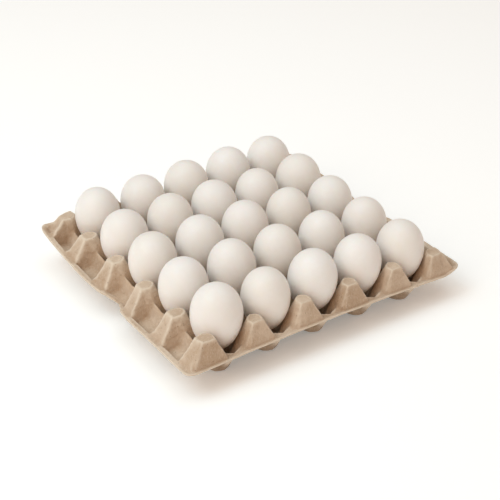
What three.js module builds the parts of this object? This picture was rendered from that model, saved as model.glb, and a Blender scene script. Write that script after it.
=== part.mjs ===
// A moulded-pulp egg tray for twenty-five eggs, five by five, with its eggs standing in it.
// Millimetres, +Z up. The origin is on the floor, at the middle of the tray's outline.

import * as THREE from 'three';

// Driving dimensions of the tray
const cellCount = 5;
const pitchX = 47.6;
const pitchY = 50.9;
const trayLengthX = 282.6;
const trayWidthY = 263.8;
const trayHeight = 47;
const rimHeight = 27;
const sheet = 1.8;
const sharpest = 1.9;
const bow = 3;
const bowSpan = 250;

// Posts between the cups, with flat eight-sided tops; the outermost ones stand a little inward
const postInsetX = 2.5;
const postInsetY = 7.15;
const postHalfX = 6;
const postHalfY = 5.9;
const endPostHalfX = 7.2;
const postCorner = 0.72;
const innerCorner = 0.64;

// Cups
const floorRadius = 8.6;
const wallRadius = 13.4;
const wallHeight = 9.5;
const saddleHeight = 26.5;
const endSaddleHeight = 32.5;
const crestStep = 0.42;
const endCrestStep = 0.3;
const crestRise = 1.6;
const endCrestRise = 2.6;

// The wide margins past the ends of the rows, with a scooped trough and a flat lip
const ribFoot = 20.5;
const ribSpread = 8.4;
const troughEnd = 17.5;
const troughHeight = 19.5;
const shoulderHeight = 22.6;
const endWidening = [0.2, 0.8, 1, 1];

// The narrow margins along the sides
const sideFoot = 10.4;
const sideSpread = 10.5;
const ledgeStep = 1;
const sideWidening = [0.1, 0.85];

// Finger notch in the middle of each wide margin
const notchDepth = 10.3;
const notchHalfLength = 30;
const notchDrop = 6;
const notchPower = 1.2;

// Round corners of the rim
const cornerRadius = 7;
const cornerChamfer = 0.8;

// The lips have curled up: how far at the left lip's back end, at both ends of the right lip,
// and how much less in the middle of the back lip
const leftCurl = 12;
const leftCurlStart = 20;
const leftCurlPower = 2.1;
const rightCurlFront = 4;
const rightCurlBack = 9.5;
const backCurlSag = 4;
const curlFadeX = { from: 4.5, to: 14 };
const curlFadeY = { from: 1, to: 6.5 };

// Eggs
const eggShape = 0.1;
const seatGap = 0.3;
const uprightLimit = 0.01;
const typicalEgg = { width: 42.2, length: 57.4 };
const eggRows = 8;
const eggSides = 12;

// Each egg's width, length and lean in degrees, by row from the front to the back
const eggWidths = [
  [43, 41, 42, 41, 42],
  [42.5, 42, 42, 41, 41],
  [42.5, 43, 42.5, 41.5, 42],
  [43, 42.5, 43, 41.5, 43.5],
  [41.5, 42, 43, 43.5, 43],
];
const eggLengths = [
  [59.5, 57, 57, 56.5, 58],
  [58, 59, 57, 57, 57.5],
  [58, 58, 58, 57.5, 57.5],
  [56, 57.5, 56, 56, 58.5],
  [58, 55, 56, 57.5, 58],
];
const eggLeans = [
  [2, 0, 3, 2, -1],
  [1, 1, -1, -1, 1],
  [0, 1, 1, 1, -1],
  [4, 1, -3, -1, 2],
  [0, 3, 2, 2, 1],
];
const leanAxis = new THREE.Vector3(0.55, 0.83, 0);

const halfX = trayLengthX / 2;
const halfY = trayWidthY / 2;
const { lerp, clamp, smoothstep, degToRad } = THREE.MathUtils;

// Middle of cell i or j, and the post line before it, along one axis
const cellMiddle = (index, pitch) => (index - (cellCount - 1) / 2) * pitch;
const cellEdge = (index, pitch) => (index - cellCount / 2) * pitch;
const isEnd = (line) => line === 0 || line === cellCount;

function postLine(line, pitch, inset) {
  const nominal = cellEdge(line, pitch);
  return isEnd(line) ? nominal - Math.sign(nominal) * inset : nominal;
}

function post(lineX, lineY) {
  return { x: postLine(lineX, pitchX, postInsetX), y: postLine(lineY, pitchY, postInsetY) };
}

// An egg's outline: angle 0 is the blunt top and PI the pointed bottom
function eggRadius(size, angle, grow = 0) {
  return (size.width / 2 + grow) * Math.sin(angle) * (1 + eggShape * Math.cos(angle));
}

function eggHeight(size, angle, grow = 0) {
  return (size.length / 2 + grow) * Math.cos(angle);
}

// The tray's upper face: corners are shared where they coincide, and every face looks up
const corners = [];
const faces = [];
const cornerIndex = new Map();

function corner(x, y, z, anchorX = x) {
  const key = `${x.toFixed(2)} ${y.toFixed(2)}`;
  if (!cornerIndex.has(key)) {
    cornerIndex.set(key, corners.length);
    corners.push({ point: new THREE.Vector3(x, y, z), anchorX });
  }
  return cornerIndex.get(key);
}

function face(a, b, c) {
  const [pa, pb, pc] = [a, b, c].map((index) => corners[index].point);
  const area = (pb.x - pa.x) * (pc.y - pa.y) - (pc.x - pa.x) * (pb.y - pa.y);
  faces.push(area > 0 ? [a, b, c] : [a, c, b]);
}

function quad(a, b, c, d) {
  face(a, b, c);
  face(a, c, d);
}

// The wall of a cup touches the seat egg where a line from the post's top grazes it
function seatPoint(topRadius) {
  let best = { slope: 0 };
  const angleStep = 0.01;
  for (let angle = Math.PI / 2; angle < Math.PI; angle += angleStep) {
    const radius = eggRadius(typicalEgg, angle, seatGap);
    const height = trayHeight + eggHeight(typicalEgg, angle, seatGap);
    const slope = (trayHeight - height) / (topRadius - radius);
    if (slope > best.slope) best = { slope, radius, height };
  }
  return best;
}

// Points along the crest between two posts, from the first post's middle to the second's
function crestAlongY(lineX, cellJ) {
  const first = post(lineX, cellJ);
  const last = post(lineX, cellJ + 1);
  const middleX = isEnd(lineX) ? first.x : cellEdge(lineX, pitchX);
  const middleY = cellMiddle(cellJ, pitchY);
  const low = isEnd(lineX) ? endSaddleHeight : saddleHeight;
  const firstY = first.y + postHalfY;
  const lastY = last.y - postHalfY;
  const step = isEnd(lineX) ? endCrestStep : crestStep;
  const stepHeight = low + (isEnd(lineX) ? endCrestRise : crestRise);
  const stepX = lerp(first.x, middleX, step);
  return [
    corner(first.x, first.y, trayHeight),
    corner(first.x, firstY, trayHeight),
    corner(stepX, lerp(firstY, middleY, step), stepHeight),
    corner(middleX, middleY, low),
    corner(stepX, lerp(lastY, middleY, step), stepHeight),
    corner(first.x, lastY, trayHeight),
    corner(last.x, last.y, trayHeight),
  ];
}

function crestAlongX(cellI, lineY) {
  const first = post(cellI, lineY);
  const last = post(cellI + 1, lineY);
  const middleX = cellMiddle(cellI, pitchX);
  const middleY = cellEdge(lineY, pitchY);
  const firstX = first.x + postHalfX;
  const lastX = last.x - postHalfX;
  const stepY = lerp(first.y, middleY, crestStep);
  return [
    corner(first.x, first.y, trayHeight),
    corner(firstX, first.y, trayHeight),
    corner(lerp(firstX, middleX, crestStep), stepY, saddleHeight + crestRise),
    corner(middleX, middleY, saddleHeight),
    corner(lerp(lastX, middleX, crestStep), stepY, saddleHeight + crestRise),
    corner(lastX, first.y, trayHeight),
    corner(last.x, last.y, trayHeight),
  ];
}

// One quarter of a cup, up to the post at its corner
function buildQuarter(i, j, sideX, sideY) {
  const middleX = cellMiddle(i, pitchX);
  const middleY = cellMiddle(j, pitchY);
  const lineX = i + (sideX + 1) / 2;
  const lineY = j + (sideY + 1) / 2;
  const near = post(lineX, lineY);
  const alongY = crestAlongY(lineX, j);
  const alongX = crestAlongX(i, lineY);
  if (sideY < 0) alongY.reverse();
  if (sideX < 0) alongX.reverse();
  const [, , , saddleA, stepA, edgeA, top] = alongY;
  const [, , , saddleB, stepB, edgeB] = alongX;

  const shoulderX = near.x - sideX * postHalfX * innerCorner;
  const shoulderY = near.y - sideY * postHalfY * innerCorner;
  const shoulder = corner(shoulderX, shoulderY, trayHeight);
  const toPost = new THREE.Vector2(shoulderX - middleX, shoulderY - middleY);
  const seat = seatPoint(toPost.length());
  toPost.normalize();

  // Floor and wall points are straight out along X, towards the post, and along Y
  const floorPoint = (x, y) =>
    corner(middleX + x * floorRadius, middleY + y * floorRadius, sheet, middleX);
  const half = Math.SQRT1_2;
  const centre = floorPoint(0, 0);
  const floor = [
    floorPoint(sideX, 0),
    floorPoint(sideX * half, sideY * half),
    floorPoint(0, sideY),
  ];
  const wall = [
    corner(middleX + sideX * wallRadius, middleY, wallHeight),
    corner(middleX + toPost.x * seat.radius, middleY + toPost.y * seat.radius, seat.height),
    corner(middleX, middleY + sideY * wallRadius, wallHeight),
  ];
  face(centre, floor[0], floor[1]);
  face(centre, floor[1], floor[2]);
  quad(floor[0], wall[0], wall[1], floor[1]);
  quad(floor[2], wall[2], wall[1], floor[1]);
  face(wall[0], saddleA, stepA);
  face(wall[0], stepA, wall[1]);
  face(wall[1], stepA, edgeA);
  face(wall[1], edgeA, shoulder);
  face(wall[2], saddleB, stepB);
  face(wall[2], stepB, wall[1]);
  face(wall[1], stepB, edgeB);
  face(wall[1], edgeB, shoulder);
  face(top, edgeA, shoulder);
  face(top, shoulder, edgeB);
}

// How far the finger notch has cut in at y, from 0 outside it to 1 in its middle
function notchShare(y) {
  const along = clamp(Math.abs(y) / notchHalfLength, 0, 1);
  return (1 - along) ** notchPower;
}

// A row of points outward over the wide margin, along a post's rib or through a trough
function endColumn(side, start, y, ribbed, spread) {
  const crestX = Math.abs(post(0, 0).x);
  const share = notchShare(y);
  const reach = halfX - crestX - notchDepth * share;
  const shrink = reach / (halfX - crestX);
  const stations = [endPostHalfX, troughEnd, ribFoot].map((out) => out * shrink);
  const outerDrop = notchDrop * share;
  const lipHeight = rimHeight - outerDrop;
  const troughFloor = lerp(troughHeight, lipHeight, share);
  const slope = (trayHeight - rimHeight) / (ribFoot - endPostHalfX);
  const ribHeight = trayHeight - slope * (troughEnd - endPostHalfX);
  const heights = [
    ribbed ? trayHeight : shoulderHeight,
    ribbed ? ribHeight - outerDrop : troughFloor,
    lipHeight,
    lipHeight,
  ];
  const column = [start];
  [...stations, reach].forEach((out, index) => {
    const widened = y + spread * endWidening[index];
    column.push(corner(side * (crestX + out), widened, heights[index]));
  });
  return column;
}

// A row of points outward over the narrow margin
function sideColumn(side, start, x, spread, high) {
  const crestY = Math.abs(post(0, 0).y);
  const low = Math.abs(cellEdge(0, pitchY)) - crestY + ledgeStep;
  const column = [start];
  const top = high ? trayHeight : saddleHeight;
  const [topShare, footShare] = sideWidening;
  column.push(corner(x + spread * topShare, side * (crestY + (high ? postHalfY : low)), top));
  column.push(corner(x + spread * footShare, side * (crestY + sideFoot), rimHeight));
  column.push(corner(x + spread, side * halfY, rimHeight));
  return column;
}

function joinColumns(columns) {
  for (let k = 0; k + 1 < columns.length; k += 1) {
    for (let row = 0; row + 1 < columns[k].length; row += 1) {
      quad(columns[k][row], columns[k + 1][row], columns[k + 1][row + 1], columns[k][row + 1]);
    }
  }
}

function buildEndMargin(side, j) {
  const lineX = side > 0 ? cellCount : 0;
  const crest = crestAlongY(lineX, j);
  const yOf = (index) => corners[crest[index]].point.y;
  const cut = postHalfY * (1 - postCorner);
  const spread = ribSpread - postHalfY + cut;
  joinColumns([
    endColumn(side, crest[0], yOf(0), true, 0),
    endColumn(side, crest[1], yOf(1) - cut, true, spread),
    endColumn(side, crest[2], yOf(2), false, 0),
    endColumn(side, crest[3], yOf(3), false, 0),
    endColumn(side, crest[4], yOf(4), false, 0),
    endColumn(side, crest[5], yOf(5) + cut, true, -spread),
    endColumn(side, crest[6], yOf(6), true, 0),
  ]);
}

function buildSideMargin(side, i) {
  const crest = crestAlongX(i, side > 0 ? cellCount : 0);
  const xOf = (index) => corners[crest[index]].point.x;
  const cut = postHalfX * (1 - postCorner);
  const spread = sideSpread - postHalfX + cut;
  joinColumns([
    sideColumn(side, crest[0], xOf(0), 0, true),
    sideColumn(side, crest[1], xOf(1) - cut, spread, true),
    sideColumn(side, crest[2], xOf(2), spread / 3, false),
    sideColumn(side, crest[3], xOf(3), 0, false),
    sideColumn(side, crest[4], xOf(4), -spread / 3, false),
    sideColumn(side, crest[5], xOf(5) + cut, -spread, true),
    sideColumn(side, crest[6], xOf(6), 0, true),
  ]);
}

// Past a corner post both margins meet, and the rim's corner is round
function buildCorner(sideX, sideY) {
  const near = post(sideX > 0 ? cellCount : 0, sideY > 0 ? cellCount : 0);
  const outX = [0, endPostHalfX, troughEnd, ribFoot, halfX - Math.abs(near.x)];
  const outY = [0, postHalfY, sideFoot, halfY - Math.abs(near.y)];
  const slopeX = (trayHeight - rimHeight) / (ribFoot - endPostHalfX);
  const slopeY = (trayHeight - rimHeight) / (sideFoot - postHalfY);
  const columns = outX.map((x, column) => outY.map((y, row) => {
    const chamfer = column === 1 && row === 1 ? cornerChamfer : 1;
    let farX = Math.abs(near.x) + x * chamfer;
    let farY = Math.abs(near.y) + y * chamfer;
    const fall = Math.max(slopeX * (x - endPostHalfX), slopeY * (y - postHalfY), 0);
    const pastX = farX - (halfX - cornerRadius);
    const pastY = farY - (halfY - cornerRadius);
    if (pastX > 0 && pastY > 0 && row > 0) {
      const rounding = Math.max(pastX, pastY) / Math.hypot(pastX, pastY);
      farX += pastX * (rounding - 1);
      farY += pastY * (rounding - 1);
    }
    return corner(sideX * farX, sideY * farY, Math.max(trayHeight - fall, rimHeight));
  }));
  joinColumns(columns);
}

const quarters = [[1, 1], [-1, 1], [-1, -1], [1, -1]];
for (let i = 0; i < cellCount; i += 1) {
  for (let j = 0; j < cellCount; j += 1) {
    for (const [sideX, sideY] of quarters) buildQuarter(i, j, sideX, sideY);
  }
  for (const side of [-1, 1]) {
    buildEndMargin(side, i);
    buildSideMargin(side, i);
  }
}
for (const [sideX, sideY] of quarters) buildCorner(sideX, sideY);

// The under face lies one sheet thickness behind every face that meets at a corner. A trace is
// added to the sums of the normals, so that they can be solved where all the faces are level.
function insetCorners() {
  const trace = 0.0001;
  const normals = corners.map(() => []);
  const plane = new THREE.Triangle();
  for (const [a, b, c] of faces) {
    plane.set(corners[a].point, corners[b].point, corners[c].point);
    const normal = plane.getNormal(new THREE.Vector3());
    for (const index of [a, b, c]) normals[index].push(normal);
  }
  return corners.map(({ point }, index) => {
    const matrix = new THREE.Matrix3().multiplyScalar(trace);
    const target = new THREE.Vector3();
    const mean = new THREE.Vector3();
    for (const normal of normals[index]) {
      const { x, y, z } = normal;
      const square = [x * x, x * y, x * z, x * y, y * y, y * z, x * z, y * z, z * z];
      square.forEach((value, k) => { matrix.elements[k] += value; });
      target.addScaledVector(normal, sheet);
      mean.add(normal);
    }
    target.addScaledVector(mean.normalize(), trace * sheet);
    const inward = target.applyMatrix3(matrix.invert()).clampLength(sheet, sheet * sharpest);
    return point.clone().sub(inward);
  });
}

// The laden tray bows: its middle stands a little higher than its two ends
function bowAt(x) {
  const ends = Math.cos(Math.PI * cellMiddle(0, pitchX) / bowSpan);
  const share = Math.cos(Math.PI * clamp(x / bowSpan, -0.5, 0.5));
  return bow * (share - ends);
}

// How far the outer lips stand up from their plane, fading out towards the cups
function curlAt({ x, y }) {
  const alongX = clamp(x / trayLengthX + 0.5, 0, 1);
  const alongY = clamp(y / trayWidthY + 0.5, 0, 1);
  const pastStart = clamp((y - leftCurlStart) / (halfY - leftCurlStart), 0, 1);
  const left = leftCurl * pastStart ** leftCurlPower;
  const right = lerp(rightCurlFront, rightCurlBack, alongY);
  const back = lerp(leftCurl, rightCurlBack, alongX) - backCurlSag * Math.sin(Math.PI * alongX);
  const shareX = 1 - smoothstep(halfX - Math.abs(x), curlFadeX.from, curlFadeX.to);
  const shareBack = 1 - smoothstep(halfY - y, curlFadeY.from, curlFadeY.to);
  return Math.max(shareX * (x < 0 ? left : right), shareBack * back);
}

function makeTray() {
  const under = insetCorners();
  const upper = corners.map(({ point }) => point);
  const positions = [...upper, ...under].flatMap((point, index) => {
    const { anchorX } = corners[index % corners.length];
    return [point.x, point.y, Math.max(point.z, 0) + bowAt(anchorX) + curlAt(point)];
  });
  const count = corners.length;
  const indices = [];
  const edges = new Set();
  for (const [a, b, c] of faces) {
    indices.push(a, b, c, c + count, b + count, a + count);
    for (const [from, to] of [[a, b], [b, c], [c, a]]) edges.add(`${from} ${to}`);
  }
  for (const edge of edges) {
    const [from, to] = edge.split(' ').map(Number);
    if (!edges.has(`${to} ${from}`)) indices.push(to, from, from + count, to, from + count, to + count);
  }
  const geometry = new THREE.BufferGeometry();
  geometry.setAttribute('position', new THREE.Float32BufferAttribute(positions, 3));
  geometry.setIndex(indices);
  geometry.computeVertexNormals();
  return geometry;
}

// Triangles of a placed mesh, each as three points, that the choice function keeps
function placedTriangles(geometry, matrix, choose) {
  const position = geometry.getAttribute('position');
  const index = geometry.getIndex();
  const triangles = [];
  for (let start = 0; start < index.count; start += 3) {
    const points = [0, 1, 2].map((k) =>
      new THREE.Vector3().fromBufferAttribute(position, index.getX(start + k)).applyMatrix4(matrix));
    const normal = new THREE.Triangle(...points).getNormal(new THREE.Vector3());
    if (choose(points[0], normal)) triangles.push(points);
  }
  return triangles;
}

// Height of a set of triangles at a place in plan, or null where none lies there
function heightAt(triangles, place) {
  for (const [a, b, c] of triangles) {
    const area = (b.x - a.x) * (c.y - a.y) - (c.x - a.x) * (b.y - a.y);
    const shareA = ((b.x - place.x) * (c.y - place.y) - (c.x - place.x) * (b.y - place.y)) / area;
    const shareB = ((c.x - place.x) * (a.y - place.y) - (a.x - place.x) * (c.y - place.y)) / area;
    const shareC = 1 - shareA - shareB;
    if (shareA >= 0 && shareB >= 0 && shareC >= 0) return shareA * a.z + shareB * b.z + shareC * c.z;
  }
  return null;
}

// Corners, edges at quarter steps and middles of triangles
function samplePoints(triangles) {
  const points = [];
  for (const [a, b, c] of triangles) {
    points.push(a, a.clone().add(b).add(c).divideScalar(3));
    for (const share of [0.25, 0.5, 0.75]) {
      points.push(a.clone().lerp(b, share), b.clone().lerp(c, share), c.clone().lerp(a, share));
    }
  }
  return points;
}

function makeEgg(size) {
  const outline = [];
  for (let row = 0; row <= eggRows; row += 1) {
    const angle = Math.PI * (1 - row / eggRows);
    const radius = row % eggRows === 0 ? 0 : eggRadius(size, angle);
    outline.push(new THREE.Vector2(radius, eggHeight(size, angle)));
  }
  return new THREE.LatheGeometry(outline, eggSides).rotateX(Math.PI / 2);
}

// Lower an egg, standing on its point and leaning a little, until its gap to the tray is the seat gap
function seatEgg(egg, tray) {
  const grown = egg.geometry.clone();
  const position = grown.getAttribute('position');
  const normal = grown.getAttribute('normal');
  for (let k = 0; k < position.count; k += 1) {
    position.setX(k, position.getX(k) + seatGap * normal.getX(k));
    position.setY(k, position.getY(k) + seatGap * normal.getY(k));
    position.setZ(k, position.getZ(k) + seatGap * normal.getZ(k));
  }
  egg.updateMatrix();
  const underside = placedTriangles(grown, egg.matrix, (point, facing) => facing.z < -uprightLimit);
  const middle = egg.position;
  const cup = placedTriangles(tray.geometry, tray.matrix, (point, facing) =>
    facing.z > uprightLimit && Math.hypot(point.x - middle.x, point.y - middle.y) < pitchY);
  let drop = Infinity;
  for (const point of samplePoints(underside)) {
    const below = heightAt(cup, point);
    if (below !== null) drop = Math.min(drop, point.z - below);
  }
  for (const point of samplePoints(cup)) {
    const above = heightAt(underside, point);
    if (above !== null) drop = Math.min(drop, above - point.z);
  }
  egg.position.z -= drop;
}

const carton = new THREE.Group();
const trayGeometry = makeTray();
const pulp = new THREE.MeshStandardMaterial({ color: 0xc8ad8b, roughness: 0.95, metalness: 0 });
const tray = new THREE.Mesh(trayGeometry, pulp);
tray.name = 'tray';
carton.add(tray);

for (let j = 0; j < cellCount; j += 1) {
  for (let i = 0; i < cellCount; i += 1) {
    const size = { width: eggWidths[j][i], length: eggLengths[j][i] };
    const shell = new THREE.MeshStandardMaterial({ color: 0xf0ebe3, roughness: 0.55, metalness: 0 });
    const egg = new THREE.Mesh(makeEgg(size), shell);
    egg.name = `egg_${i + 1}_${j + 1}`;
    egg.position.set(cellMiddle(i, pitchX), cellMiddle(j, pitchY), trayHeight + size.length);
    egg.quaternion.setFromAxisAngle(leanAxis.clone().normalize(), degToRad(eggLeans[j][i]));
    seatEgg(egg, tray);
    carton.add(egg);
  }
}

export default carton;
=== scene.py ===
import math
import bmesh
import bpy
import numpy as np
from mathutils import Matrix, Vector, noise


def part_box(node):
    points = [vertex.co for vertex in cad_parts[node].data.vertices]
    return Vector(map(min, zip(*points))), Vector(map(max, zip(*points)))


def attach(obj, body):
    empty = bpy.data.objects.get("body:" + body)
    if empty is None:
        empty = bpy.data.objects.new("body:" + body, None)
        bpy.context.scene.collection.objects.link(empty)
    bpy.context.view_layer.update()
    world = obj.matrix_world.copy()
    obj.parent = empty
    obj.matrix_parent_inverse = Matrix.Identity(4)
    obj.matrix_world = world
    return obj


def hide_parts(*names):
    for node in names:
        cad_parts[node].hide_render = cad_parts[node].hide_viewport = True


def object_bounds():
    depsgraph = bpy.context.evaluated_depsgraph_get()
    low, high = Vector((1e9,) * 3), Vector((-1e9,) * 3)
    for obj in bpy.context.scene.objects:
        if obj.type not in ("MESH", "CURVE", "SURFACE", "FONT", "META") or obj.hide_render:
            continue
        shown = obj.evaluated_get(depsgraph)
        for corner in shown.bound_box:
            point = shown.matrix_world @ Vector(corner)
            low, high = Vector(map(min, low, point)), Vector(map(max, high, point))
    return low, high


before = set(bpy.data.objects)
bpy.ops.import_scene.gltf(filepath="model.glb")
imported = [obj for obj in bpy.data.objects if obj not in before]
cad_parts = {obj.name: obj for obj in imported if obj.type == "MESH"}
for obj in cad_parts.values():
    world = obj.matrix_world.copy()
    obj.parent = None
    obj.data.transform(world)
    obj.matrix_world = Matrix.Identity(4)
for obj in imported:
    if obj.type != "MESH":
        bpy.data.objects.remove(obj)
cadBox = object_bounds()
lowCorner, highCorner = cadBox
scene = bpy.context.scene
noise.seed_set(7)  # unseeded, noise_vector takes its offsets from the clock
print("frame loaded:", len(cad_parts), "nodes")


def finishPiece(name, mesh, material):
    data = bpy.data.meshes.new(name)
    mesh.to_mesh(data)
    mesh.free()
    piece = bpy.data.objects.new(name, data)
    scene.collection.objects.link(piece)
    data.materials.append(material)
    for face in data.polygons:
        face.use_smooth = True
    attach(piece, "root")
    return piece


def clamp(value, low=0.0, high=1.0):
    return max(low, min(high, value))


def easeBetween(value, start, end):
    share = clamp((value - start) / (end - start))
    return share * share * (3 - 2 * share)


def addNode(tree, kind, place, **settings):
    node = tree.nodes.new(kind)
    node.location = place
    for key, value in settings.items():
        if key in node.inputs:
            node.inputs[key].default_value = value
        else:
            setattr(node, key, value)
    return node


def newGroup(name, inputs, outputs):
    group = bpy.data.node_groups.new(name, "ShaderNodeTree")
    for label, kind, value in inputs:
        socket = group.interface.new_socket(label, in_out="INPUT", socket_type=kind)
        if value is not None:
            socket.default_value = value
    for label, kind in outputs:
        group.interface.new_socket(label, in_out="OUTPUT", socket_type=kind)
    entry = group.nodes.new("NodeGroupInput")
    leave = group.nodes.new("NodeGroupOutput")
    entry.location = (-600, 0)
    leave.location = (600, 0)
    return group, entry, leave


# A soft cloudy mask, from 0 to 1, with its spread set by Low and High
def makeMottle():
    group, entry, leave = newGroup(
        "softMottle",
        [("Vector", "NodeSocketVector", None), ("Scale", "NodeSocketFloat", 100.0),
         ("Detail", "NodeSocketFloat", 3.0), ("Low", "NodeSocketFloat", 0.35),
         ("High", "NodeSocketFloat", 0.65)],
        [("Mask", "NodeSocketFloat")])
    cloud = addNode(group, "ShaderNodeTexNoise", (-350, 0))
    spread = addNode(group, "ShaderNodeMapRange", (0, 0), clamp=True)
    group.links.new(entry.outputs["Vector"], cloud.inputs["Vector"])
    group.links.new(entry.outputs["Scale"], cloud.inputs["Scale"])
    group.links.new(entry.outputs["Detail"], cloud.inputs["Detail"])
    group.links.new(cloud.outputs[0], spread.inputs[0])
    group.links.new(entry.outputs["Low"], spread.inputs[1])
    group.links.new(entry.outputs["High"], spread.inputs[2])
    group.links.new(spread.outputs[0], leave.inputs["Mask"])
    return group


# Scattered small spots: 1 in a spot, 0 outside; Share says how many cells of the pattern hold one
def makeSpots():
    group, entry, leave = newGroup(
        "scatteredSpots",
        [("Vector", "NodeSocketVector", None), ("Scale", "NodeSocketFloat", 300.0),
         ("Size", "NodeSocketFloat", 0.25), ("Share", "NodeSocketFloat", 0.2)],
        [("Mask", "NodeSocketFloat")])
    cells = addNode(group, "ShaderNodeTexVoronoi", (-350, 0))
    inside = addNode(group, "ShaderNodeMapRange", (-100, 120), clamp=True)
    inside.inputs[3].default_value = 1.0
    inside.inputs[4].default_value = 0.0
    split = addNode(group, "ShaderNodeSeparateColor", (-100, -120))
    chosen = addNode(group, "ShaderNodeMath", (80, -120), operation="LESS_THAN")
    both = addNode(group, "ShaderNodeMath", (280, 0), operation="MULTIPLY")
    group.links.new(entry.outputs["Vector"], cells.inputs["Vector"])
    group.links.new(entry.outputs["Scale"], cells.inputs["Scale"])
    group.links.new(cells.outputs["Distance"], inside.inputs[0])
    group.links.new(entry.outputs["Size"], inside.inputs[2])
    group.links.new(cells.outputs["Color"], split.inputs[0])
    group.links.new(split.outputs[0], chosen.inputs[0])
    group.links.new(entry.outputs["Share"], chosen.inputs[1])
    group.links.new(inside.outputs[0], both.inputs[0])
    group.links.new(chosen.outputs[0], both.inputs[1])
    group.links.new(both.outputs[0], leave.inputs["Mask"])
    return group


# Height of matted fibres: thin strands of noise drawn out along three directions
def makeFibres():
    group, entry, leave = newGroup(
        "mattedFibres",
        [("Vector", "NodeSocketVector", None), ("Scale", "NodeSocketFloat", 600.0),
         ("Stretch", "NodeSocketFloat", 0.15)],
        [("Height", "NodeSocketFloat")])
    total = None
    for index, turn in enumerate([(0.4, 0.2, 0.3), (1.3, 0.9, 1.7), (-0.7, 1.9, 0.8)]):
        across = -200 * index
        draw = addNode(group, "ShaderNodeCombineXYZ", (-420, across - 80), X=1.0, Y=1.0)
        group.links.new(entry.outputs["Stretch"], draw.inputs["Z"])
        turned = addNode(group, "ShaderNodeMapping", (-250, across), Rotation=turn)
        group.links.new(entry.outputs["Vector"], turned.inputs["Vector"])
        group.links.new(draw.outputs[0], turned.inputs["Scale"])
        strand = addNode(group, "ShaderNodeTexNoise", (-60, across), Detail=2.0, Roughness=0.6)
        group.links.new(turned.outputs[0], strand.inputs["Vector"])
        group.links.new(entry.outputs["Scale"], strand.inputs["Scale"])
        if total is None:
            total = strand.outputs[0]
        else:
            highest = addNode(group, "ShaderNodeMath", (200, across), operation="MAXIMUM")
            group.links.new(total, highest.inputs[0])
            group.links.new(strand.outputs[0], highest.inputs[1])
            total = highest.outputs[0]
    group.links.new(total, leave.inputs["Height"])
    return group


softMottle = makeMottle()
scatteredSpots = makeSpots()
mattedFibres = makeFibres()


class Maker:
    # Builds one material: places groups, mixes colours and stacks bumps
    def __init__(self, name):
        self.material = bpy.data.materials.new(name)
        self.material.use_nodes = True
        self.tree = self.material.node_tree
        self.shader = self.tree.nodes["Principled BSDF"]
        self.place = addNode(self.tree, "ShaderNodeTexCoord", (-1500, 0)).outputs["Object"]
        self.row = 0

    def group(self, tree, **settings):
        self.row -= 220
        node = addNode(self.tree, "ShaderNodeGroup", (-1200, self.row), node_tree=tree)
        for key, value in settings.items():
            node.inputs[key].default_value = value
        self.tree.links.new(self.place, node.inputs["Vector"])
        return node.outputs[0]

    def attribute(self, name):
        return addNode(self.tree, "ShaderNodeAttribute", (-1200, 250), attribute_name=name).outputs["Fac"]

    def scaled(self, value, factor, offset=0.0):
        self.row -= 60
        node = addNode(
            self.tree, "ShaderNodeMath", (-950, self.row), operation="MULTIPLY_ADD", use_clamp=True)
        node.inputs[1].default_value = factor
        node.inputs[2].default_value = offset
        self.tree.links.new(value, node.inputs[0])
        return node.outputs[0]

    def mix(self, mask, low, high, blend="MIX"):
        self.row -= 60
        node = addNode(self.tree, "ShaderNodeMix", (-700, self.row), data_type="RGBA", blend_type=blend)
        self.tree.links.new(mask, node.inputs[0])
        for socket, value in ((node.inputs[6], low), (node.inputs[7], high)):
            if isinstance(value, (tuple, list)):
                socket.default_value = (*value, 1.0)
            else:
                self.tree.links.new(value, socket)
        return node.outputs[2]

    def bump(self, height, strength, distance, below=None):
        self.row -= 60
        node = addNode(self.tree, "ShaderNodeBump", (-400, self.row), Strength=strength, Distance=distance)
        self.tree.links.new(height, node.inputs["Height"])
        if below is not None:
            self.tree.links.new(below, node.inputs["Normal"])
        return node.outputs[0]

    def feed(self, value, socket):
        self.tree.links.new(value, self.shader.inputs[socket])


pulpLook = {
    "pale": (0.665, 0.52, 0.393),
    # dark pulp tone, also the painted shade in recesses
    "darkToneAndRecessShade": (0.465, 0.318, 0.207),
    # pale pulp tone, also the painted highlight on ridges
    "paleToneAndRidgeHighlight": (0.74, 0.615, 0.485),
    # painted shade in the cups close beside the eggs
    "cupShadeColor": (0.52, 0.345, 0.215),
    # painted shade on the low, downward-facing underside and feet
    "underShadeColor": (0.31, 0.195, 0.115),
    "speck": (0.17, 0.10, 0.06),
    "fleck": (0.78, 0.68, 0.55),
    "roughness": 0.93,
}


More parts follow.
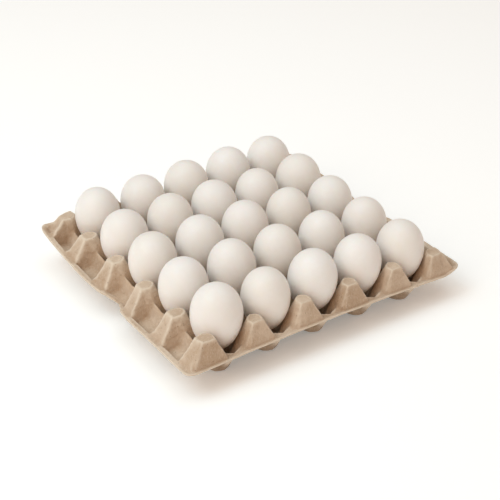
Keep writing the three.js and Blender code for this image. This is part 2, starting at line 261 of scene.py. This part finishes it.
def makePulp():
    look = pulpLook
    maker = Maker("mouldedPulp")
    drift = maker.group(softMottle, Scale=28.0, Detail=3.0, Low=0.35, High=0.65)
    cloudy = maker.group(softMottle, Scale=190.0, Detail=4.0, Low=0.36, High=0.66)
    fine = maker.group(softMottle, Scale=900.0, Detail=2.0, Low=0.3, High=0.7)
    fibres = maker.group(mattedFibres, Scale=900.0, Stretch=0.14)
    specks = maker.group(scatteredSpots, Scale=420.0, Size=0.32, Share=0.10)
    flecks = maker.group(scatteredSpots, Scale=330.0, Size=0.30, Share=0.14)
    relief = maker.attribute("relief")
    base = maker.mix(drift, look["pale"], look["darkToneAndRecessShade"])
    base = maker.mix(maker.scaled(cloudy, 0.55), base, look["darkToneAndRecessShade"])
    base = maker.mix(maker.scaled(fine, 0.22), base, look["paleToneAndRidgeHighlight"])
    # painted highlight: faces standing proud of the broad form are lightened
    base = maker.mix(maker.scaled(relief, 2.4, -1.25), base, look["paleToneAndRidgeHighlight"])
    # painted shade: faces sunk below the broad form are darkened
    base = maker.mix(maker.scaled(relief, -0.9, 0.40), base, look["darkToneAndRecessShade"])
    # painted shade low in the cups, close beside the eggs
    base = maker.mix(maker.scaled(maker.attribute("paintedCupShade"), 0.9), base, look["cupShadeColor"])
    # painted shade under the tray, on low faces that look down
    base = maker.mix(maker.scaled(maker.attribute("paintedUnderShade"), 0.7), base, look["underShadeColor"])
    strand = maker.scaled(fibres, 5.0, -2.9)
    base = maker.mix(maker.scaled(strand, 0.35), base, look["fleck"])
    base = maker.mix(maker.scaled(flecks, 0.4), base, look["fleck"])
    base = maker.mix(maker.scaled(specks, 0.6), base, look["speck"])
    maker.feed(base, "Base Color")
    maker.feed(maker.scaled(cloudy, 0.08, look["roughness"] - 0.06), "Roughness")
    lumps = maker.bump(cloudy, 0.65, 0.0008)
    grain = maker.bump(fine, 0.35, 0.00022, lumps)
    maker.feed(maker.bump(fibres, 0.55, 0.00045, grain), "Normal")
    maker.shader.inputs["Specular IOR Level"].default_value = 0.25
    maker.shader.inputs["Sheen Weight"].default_value = 0.12
    maker.shader.inputs["Sheen Roughness"].default_value = 0.6
    return maker.material


eggshellLook = {
    "roughness": 0.42,
    "specular": 0.38,
    "subsurface": 0.15,
    "subsurfaceScale": 0.005,
    "subsurfaceRadius": (1.0, 0.55, 0.35),
    "toneSpread": 0.045,
    "toneWeights": (1.0, 1.35, 1.9),  # blue falls most, so the darker tone is creamier
    "pore": (0.70, 0.62, 0.53),
    "chalk": (0.92, 0.91, 0.89),
}
# Three slightly different whites, from chalky to creamy
eggshellWhites = [(0.915, 0.88, 0.85), (0.92, 0.893, 0.868), (0.905, 0.868, 0.83)]


def makeEggshell(index, white):
    look = eggshellLook
    maker = Maker(f"eggshell{index + 1}")
    drift = maker.group(softMottle, Scale=38.0, Detail=2.0, Low=0.3, High=0.7)
    cloudy = maker.group(softMottle, Scale=260.0, Detail=3.0, Low=0.35, High=0.65)
    pores = maker.group(scatteredSpots, Scale=1500.0, Size=0.5, Share=0.55)
    chalk = maker.group(scatteredSpots, Scale=420.0, Size=0.22, Share=0.035)
    grain = maker.group(softMottle, Scale=1300.0, Detail=2.0, Low=0.3, High=0.7)
    darker = tuple(
        channel * (1 - look["toneSpread"] * weight) for channel, weight in zip(white, look["toneWeights"]))
    base = maker.mix(maker.scaled(drift, 0.8), white, darker)
    base = maker.mix(maker.scaled(cloudy, 0.35), base, darker)
    base = maker.mix(maker.scaled(pores, 0.10), base, look["pore"])
    base = maker.mix(maker.scaled(chalk, 0.5), base, look["chalk"])
    maker.feed(base, "Base Color")
    maker.feed(maker.scaled(cloudy, 0.10, look["roughness"] - 0.03), "Roughness")
    dimples = maker.bump(grain, 0.30, 0.00010)
    maker.feed(maker.bump(maker.scaled(pores, -1.0, 1.0), 0.25, 0.00008, dimples), "Normal")
    maker.shader.inputs["Specular IOR Level"].default_value = look["specular"]
    maker.shader.inputs["Subsurface Weight"].default_value = look["subsurface"]
    maker.shader.inputs["Subsurface Scale"].default_value = look["subsurfaceScale"]
    maker.shader.inputs["Subsurface Radius"].default_value = look["subsurfaceRadius"]
    return maker.material


pulp = makePulp()
eggshells = [makeEggshell(index, white) for index, white in enumerate(eggshellWhites)]
print("materials made")


trayShape = {
    "facet": 0.0022,          # longest edge on the margins and post tops
    "ribFacet": 0.0028,       # longest edge on the posts' sides and the crests
    "cupFacet": 0.0045,       # longest edge low in the cups, under the eggs
    "underFacet": 0.0070,     # longest edge on the underside
    "splitPasses": 8,
    "facingUp": 0.02,         # a facet whose normal rises more than this counts as looking up
    "footHeight": 0.015,      # the underside is finely split below this
    "marginWidth": 0.010,
    "topHeight": 0.0455,      # post tops stand above this
    "cupRoom": 0.026,         # cups lie further in than this, and below cupHeight
    "cupHeight": 0.022,
    "rounding": 2,            # smoothing passes that round the ridges
    "lipWidth": 0.004,
    "crispHeight": 0.042,     # above this the form stays sharp
    "edgeKept": 0.60,         # share of the sharp form kept along the lip and on the post tops
    "formKept": 0.15,         # and elsewhere
    "broadRounding": 12,      # passes for the broad form that the ridges stand out from
    "ridgeLift": 0.30,        # share by which ridges stand proud and facets sink
    "ridgeLimit": 0.0005,
    "reliefSpan": 0.0018,     # how far proud of the broad form counts as full relief
    # flat post tops take a fixed relief, so a fixed share of the painted ridge highlight, and no ridge
    # lift
    "flatTopHeight": (0.0440, 0.0462),
    "flatTopLevel": (0.88, 0.975),
    "flatTopRelief": 0.58,
    "warp": 0.0003,           # slow unevenness of the whole sheet
    "warpScale": 14.0,
    "warpOffset": (3.1, 7.7, 1.3),
    "lump": 0.00020,          # lumps a few millimetres across
    "grain": 0.00007,         # roughness about two millimetres across
    # Each dent: X, Y, depth, reach
    "dents": [(-0.1309, 0.1225, 0.0090, 0.0080), (0.1340, -0.1230, 0.0070, 0.0080)],
    "dentFloor": 0.15,        # share of the reach that lies at full depth
    "eggRoom": 0.00015,       # how far the pressed cups keep off the eggs
    "pressMargin": 0.00002,
    "eggReach": 0.012,        # an egg further off than this is passed over
    "farRoom": 0.02,          # the room noted where no egg is near
    # heights and gaps to the eggs over which the painted cup shade fades out
    "cupShadeHeight": (0.030, 0.046),
    "cupShadeRoom": (0.003, 0.011),
    # height and facing over which the painted underside shade fades out
    "underShadeHeight": (0.004, 0.019),
    "underShadeFacing": (-0.2, 0.2),
}


# How far in from the nearest side of the tray a place lies
def roomToEdge(place):
    return min(highCorner.x - abs(place.x), highCorner.y - abs(place.y))


def facetLimit(middle, looksUp):
    shape = trayShape
    edgeRoom = roomToEdge(middle)
    height = middle.z - lowCorner.z
    if not looksUp:
        return shape["cupFacet"] if height < shape["footHeight"] else shape["underFacet"]
    if edgeRoom < shape["marginWidth"] or height > shape["topHeight"]:
        return shape["facet"]
    if edgeRoom > shape["cupRoom"] and height < shape["cupHeight"]:
        return shape["cupFacet"]
    return shape["ribFacet"]


def splitLongEdges(mesh):
    for step in range(trayShape["splitPasses"]):
        mesh.normal_update()
        longEdges = []
        for edge in mesh.edges:
            middle = (edge.verts[0].co + edge.verts[1].co) / 2
            looksUp = any(face.normal.z > trayShape["facingUp"] for face in edge.link_faces)
            if edge.calc_length() > facetLimit(middle, looksUp):
                longEdges.append(edge)
        if not longEdges:
            break
        bmesh.ops.subdivide_edges(mesh, edges=longEdges, cuts=1)
        bmesh.ops.triangulate(mesh, faces=[face for face in mesh.faces if len(face.verts) > 3])


def soften(mesh, passes):
    for step in range(passes):
        bmesh.ops.smooth_vert(
            mesh, verts=mesh.verts, factor=0.5, use_axis_x=True, use_axis_y=True, use_axis_z=True)


# Slow unevenness of the whole sheet, and a dent beside each corner post that shows
def bendTray(place):
    slow = noise.noise_vector(place * trayShape["warpScale"] + Vector(trayShape["warpOffset"]))
    bent = place + slow * trayShape["warp"]
    for x, y, depth, reach in trayShape["dents"]:
        away = math.hypot(place.x - x, place.y - y)
        bent.z -= depth * (1 - easeBetween(away, reach * trayShape["dentFloor"], reach))
    return bent


# Presses a place on the tray out of the eggs around it; also says how far off the nearest egg is
def clearOfEggs(place, eggs):
    nearest = trayShape["farRoom"]
    for egg in eggs:
        away = place - egg["centre"]
        if away.length > egg["length"] / 2 + trayShape["eggReach"]:
            continue
        height = away.dot(egg["axis"])
        share = height / (egg["length"] / 2)
        if abs(share) >= 1:
            continue
        across = away - egg["axis"] * height
        radius = egg["width"] / 2 * math.sqrt(1 - share * share) * (1 + egg["taper"] * share)
        short = radius + trayShape["eggRoom"] - across.length
        nearest = min(nearest, max(-short, 0))
        if short > 0:
            slope = math.sqrt(1 - share * share)
            lean = egg["axis"] * share * egg["width"] / egg["length"]
            outward = (across.normalized() * slope + lean).normalized()
            place = place + outward * (short * slope + trayShape["pressMargin"])
    return place, nearest


def makeTray(eggs):
    shape = trayShape
    mesh = bmesh.new()
    mesh.from_mesh(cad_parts["tray"].data)
    for layer in list(mesh.loops.layers.uv.values()):
        mesh.loops.layers.uv.remove(layer)
    bmesh.ops.remove_doubles(mesh, verts=mesh.verts, dist=1e-5)
    splitLongEdges(mesh)
    sharp = [vertex.co.copy() for vertex in mesh.verts]
    soften(mesh, shape["rounding"])
    for vertex, place in zip(mesh.verts, sharp):
        crisp = roomToEdge(place) < shape["lipWidth"] or place.z - lowCorner.z > shape["crispHeight"]
        kept = shape["edgeKept"] if crisp else shape["formKept"]
        vertex.co = vertex.co.lerp(place, kept)
    broad = mesh.copy()
    soften(broad, shape["broadRounding"])
    mesh.normal_update()
    relief = mesh.verts.layers.float.new("relief")
    paintedCupShade = mesh.verts.layers.float.new("paintedCupShade")
    paintedUnderShade = mesh.verts.layers.float.new("paintedUnderShade")
    for vertex, broadVertex in zip(mesh.verts, broad.verts):
        proud = (vertex.co - broadVertex.co).dot(vertex.normal)
        # relief drives the painted ridge highlight and painted recess shade in the pulp colour
        flatTop = easeBetween(vertex.co.z - lowCorner.z, *shape["flatTopHeight"])
        flatTop *= easeBetween(vertex.normal.z, *shape["flatTopLevel"])
        stands = clamp(0.5 + proud / shape["reliefSpan"])
        vertex[relief] = stands * (1 - flatTop) + shape["flatTopRelief"] * flatTop
        lift = clamp(proud * shape["ridgeLift"], -shape["ridgeLimit"], shape["ridgeLimit"]) * (1 - flatTop)
        place = vertex.co
        lumps = noise.noise(place * 140.0) * shape["lump"] + noise.noise(place * 420.0) * shape["grain"]
        vertex.co = vertex.co + vertex.normal * (lift + lumps)
    broad.free()
    for vertex in mesh.verts:
        vertex.co, room = clearOfEggs(bendTray(vertex.co), eggs)
        height = vertex.co.z - lowCorner.z
        # painted cup shade: full low down and within a few millimetres of an egg
        depth = 1 - easeBetween(height, *shape["cupShadeHeight"])
        vertex[paintedCupShade] = depth * (1 - easeBetween(room, *shape["cupShadeRoom"]))
        # painted shade under the tray: full low down on faces that look down
        faceDown = easeBetween(-vertex.normal.z, *shape["underShadeFacing"])
        vertex[paintedUnderShade] = (1 - easeBetween(height, *shape["underShadeHeight"])) * faceDown
        vertex.co.z = max(vertex.co.z, lowCorner.z)
    mesh.normal_update()
    print("tray:", len(mesh.faces), "facets")
    tray = finishPiece("pulpTray", mesh, pulp)
    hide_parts("tray")


eggForm = {
    "around": 64,
    "rings": 44,
    "taper": 0.10,            # how much the blunt end is fuller than the point
    "taperSpread": 0.025,
    "ovalSpread": 0.005,      # how far the round section strays from a circle
    "unevenness": 0.003,
}


# Axis, middle, width, length and fullness of an egg, read from its solid
def measureEgg(node, index):
    points = np.array([vertex.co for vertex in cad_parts[node].data.vertices])
    low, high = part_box(node)
    middle = np.array((low + high) / 2)
    values, vectors = np.linalg.eigh(np.cov((points - middle).T))
    axis = vectors[:, 2] * np.sign(vectors[2, 2])
    along = (points - middle) @ axis
    centre = middle + axis * (along.max() + along.min()) / 2
    away = points - centre
    radius = np.linalg.norm(away - np.outer(away @ axis, axis), axis=1).max()
    seed = Vector((index * 1.7, index * 0.9 + 4.0, 2.5))
    return {
        "node": node,
        "axis": Vector(axis),
        "centre": Vector(centre),
        "width": 2 * float(radius),
        "length": float(along.max() - along.min()),
        "taper": eggForm["taper"] + eggForm["taperSpread"] * noise.noise(seed),
        "seed": seed,
    }


def makeEgg(egg, index):
    form = eggForm
    oval = form["ovalSpread"] * noise.noise(egg["seed"] * 1.9)
    mesh = bmesh.new()
    bmesh.ops.create_uvsphere(mesh, u_segments=form["around"], v_segments=form["rings"], radius=1.0)
    for vertex in mesh.verts:
        height = clamp(vertex.co.z, -1.0, 1.0)
        full = egg["width"] / 2 * (1 + egg["taper"] * height)
        uneven = 1 + form["unevenness"] * noise.noise(vertex.co * 1.3 + egg["seed"])
        vertex.co.x *= full * (1 + oval) * uneven
        vertex.co.y *= full * (1 - oval) * uneven
        vertex.co.z = height * egg["length"] / 2
    spin = Matrix.Rotation(index * 2.4, 4, "Z")
    turn = Vector((0, 0, 1)).rotation_difference(egg["axis"]).to_matrix().to_4x4()
    bmesh.ops.transform(mesh, matrix=Matrix.Translation(egg["centre"]) @ turn @ spin, verts=mesh.verts)
    shell = eggshells[index % len(eggshells)]
    piece = finishPiece(egg["node"].replace("egg", "hensEgg"), mesh, shell)
    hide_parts(egg["node"])


eggNodes = sorted(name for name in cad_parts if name.startswith("egg_"))
eggs = [measureEgg(node, index) for index, node in enumerate(eggNodes)]
print("eggs measured:", len(eggs))
makeTray(eggs)
for index, egg in enumerate(eggs):
    makeEgg(egg, index)
print("eggs made")


studio = {
    "floorColor": (0.99, 0.965, 0.945),
    "floorGlow": (0.82, 0.95, 1.0),
    "floorGlowStrength": 0.18,
    "worldColor": (1.0, 0.75, 0.58),
    "worldStrength": 0.45,
    "keyPlace": (-1.4, 0.4, 2.2),
    "keyPower": 21.0,
    "keySize": 1.6,
    "keyColor": (0.60, 0.85, 1.0),
    "fillPlace": (-1.95, -0.65, 1.6),
    "fillPower": 17.5,
    "fillSize": 1.6,
    "fillColor": (0.95, 0.88, 0.80),
    "topPlace": (0.1, 0.1, 2.2),
    "topPower": 17.0,
    "topSize": 2.2,
    "topColor": (0.72, 0.92, 1.0),
}


def makeFloor():
    mesh = bmesh.new()
    bmesh.ops.create_grid(mesh, x_segments=1, y_segments=1, size=6.0)
    bmesh.ops.translate(mesh, vec=(0, 0, lowCorner.z), verts=mesh.verts)
    data = bpy.data.meshes.new("floor")
    mesh.to_mesh(data)
    mesh.free()
    floor = bpy.data.objects.new("floor", data)
    scene.collection.objects.link(floor)
    paper = bpy.data.materials.new("floorPaper")
    paper.use_nodes = True
    shader = paper.node_tree.nodes["Principled BSDF"]
    shader.inputs["Base Color"].default_value = (*studio["floorColor"], 1.0)
    shader.inputs["Roughness"].default_value = 0.9
    shader.inputs["Specular IOR Level"].default_value = 0.1
    shader.inputs["Emission Color"].default_value = (*studio["floorGlow"], 1.0)
    shader.inputs["Emission Strength"].default_value = studio["floorGlowStrength"]
    data.materials.append(paper)


def addSoftLight(name, place, target, power, size, color):
    lamp = bpy.data.lights.new(name, "AREA")
    lamp.shape = "SQUARE"
    lamp.size = size
    lamp.energy = power
    lamp.color = color
    holder = bpy.data.objects.new(name, lamp)
    holder.location = place
    holder.rotation_euler = (Vector(target) - Vector(place)).to_track_quat("-Z", "Y").to_euler()
    scene.collection.objects.link(holder)


def makeStudio():
    world = bpy.data.worlds.new("studioAir")
    world.use_nodes = True
    air = world.node_tree.nodes["Background"]
    air.inputs["Color"].default_value = (*studio["worldColor"], 1.0)
    air.inputs["Strength"].default_value = studio["worldStrength"]
    scene.world = world
    for kind in ("key", "fill", "top"):
        addSoftLight(f"{kind}Light", studio[f"{kind}Place"], (0, 0, 0.04), studio[f"{kind}Power"],
                     studio[f"{kind}Size"], studio[f"{kind}Color"])
    scene.view_settings.view_transform = "Standard"
    scene.view_settings.look = "None"


view = {"azimuth": -33.6, "elevation": 30.41, "roll": -0.42, "distance": 1.0597, "lens": 87.1,
        "target": (-0.01427, -0.02929, 0.0475)}


def makeCamera():
    turn, rise = math.radians(view["azimuth"]), math.radians(view["elevation"])
    back = Vector((math.sin(turn) * math.cos(rise), -math.cos(turn) * math.cos(rise), math.sin(rise)))
    lens = bpy.data.cameras.new("camera")
    lens.lens = view["lens"]
    lens.sensor_width = 36.0
    lens.clip_start, lens.clip_end = 0.05, 50.0
    camera = bpy.data.objects.new("camera", lens)
    camera.location = Vector(view["target"]) + back * view["distance"]
    level = (-back).to_track_quat("-Z", "Y").to_matrix()
    roll = Matrix.Rotation(math.radians(view["roll"]), 3, "Z")
    camera.rotation_euler = (level @ roll).to_euler()
    scene.collection.objects.link(camera)
    scene.camera = camera


makeFloor()
makeStudio()
makeCamera()
print("studio made")
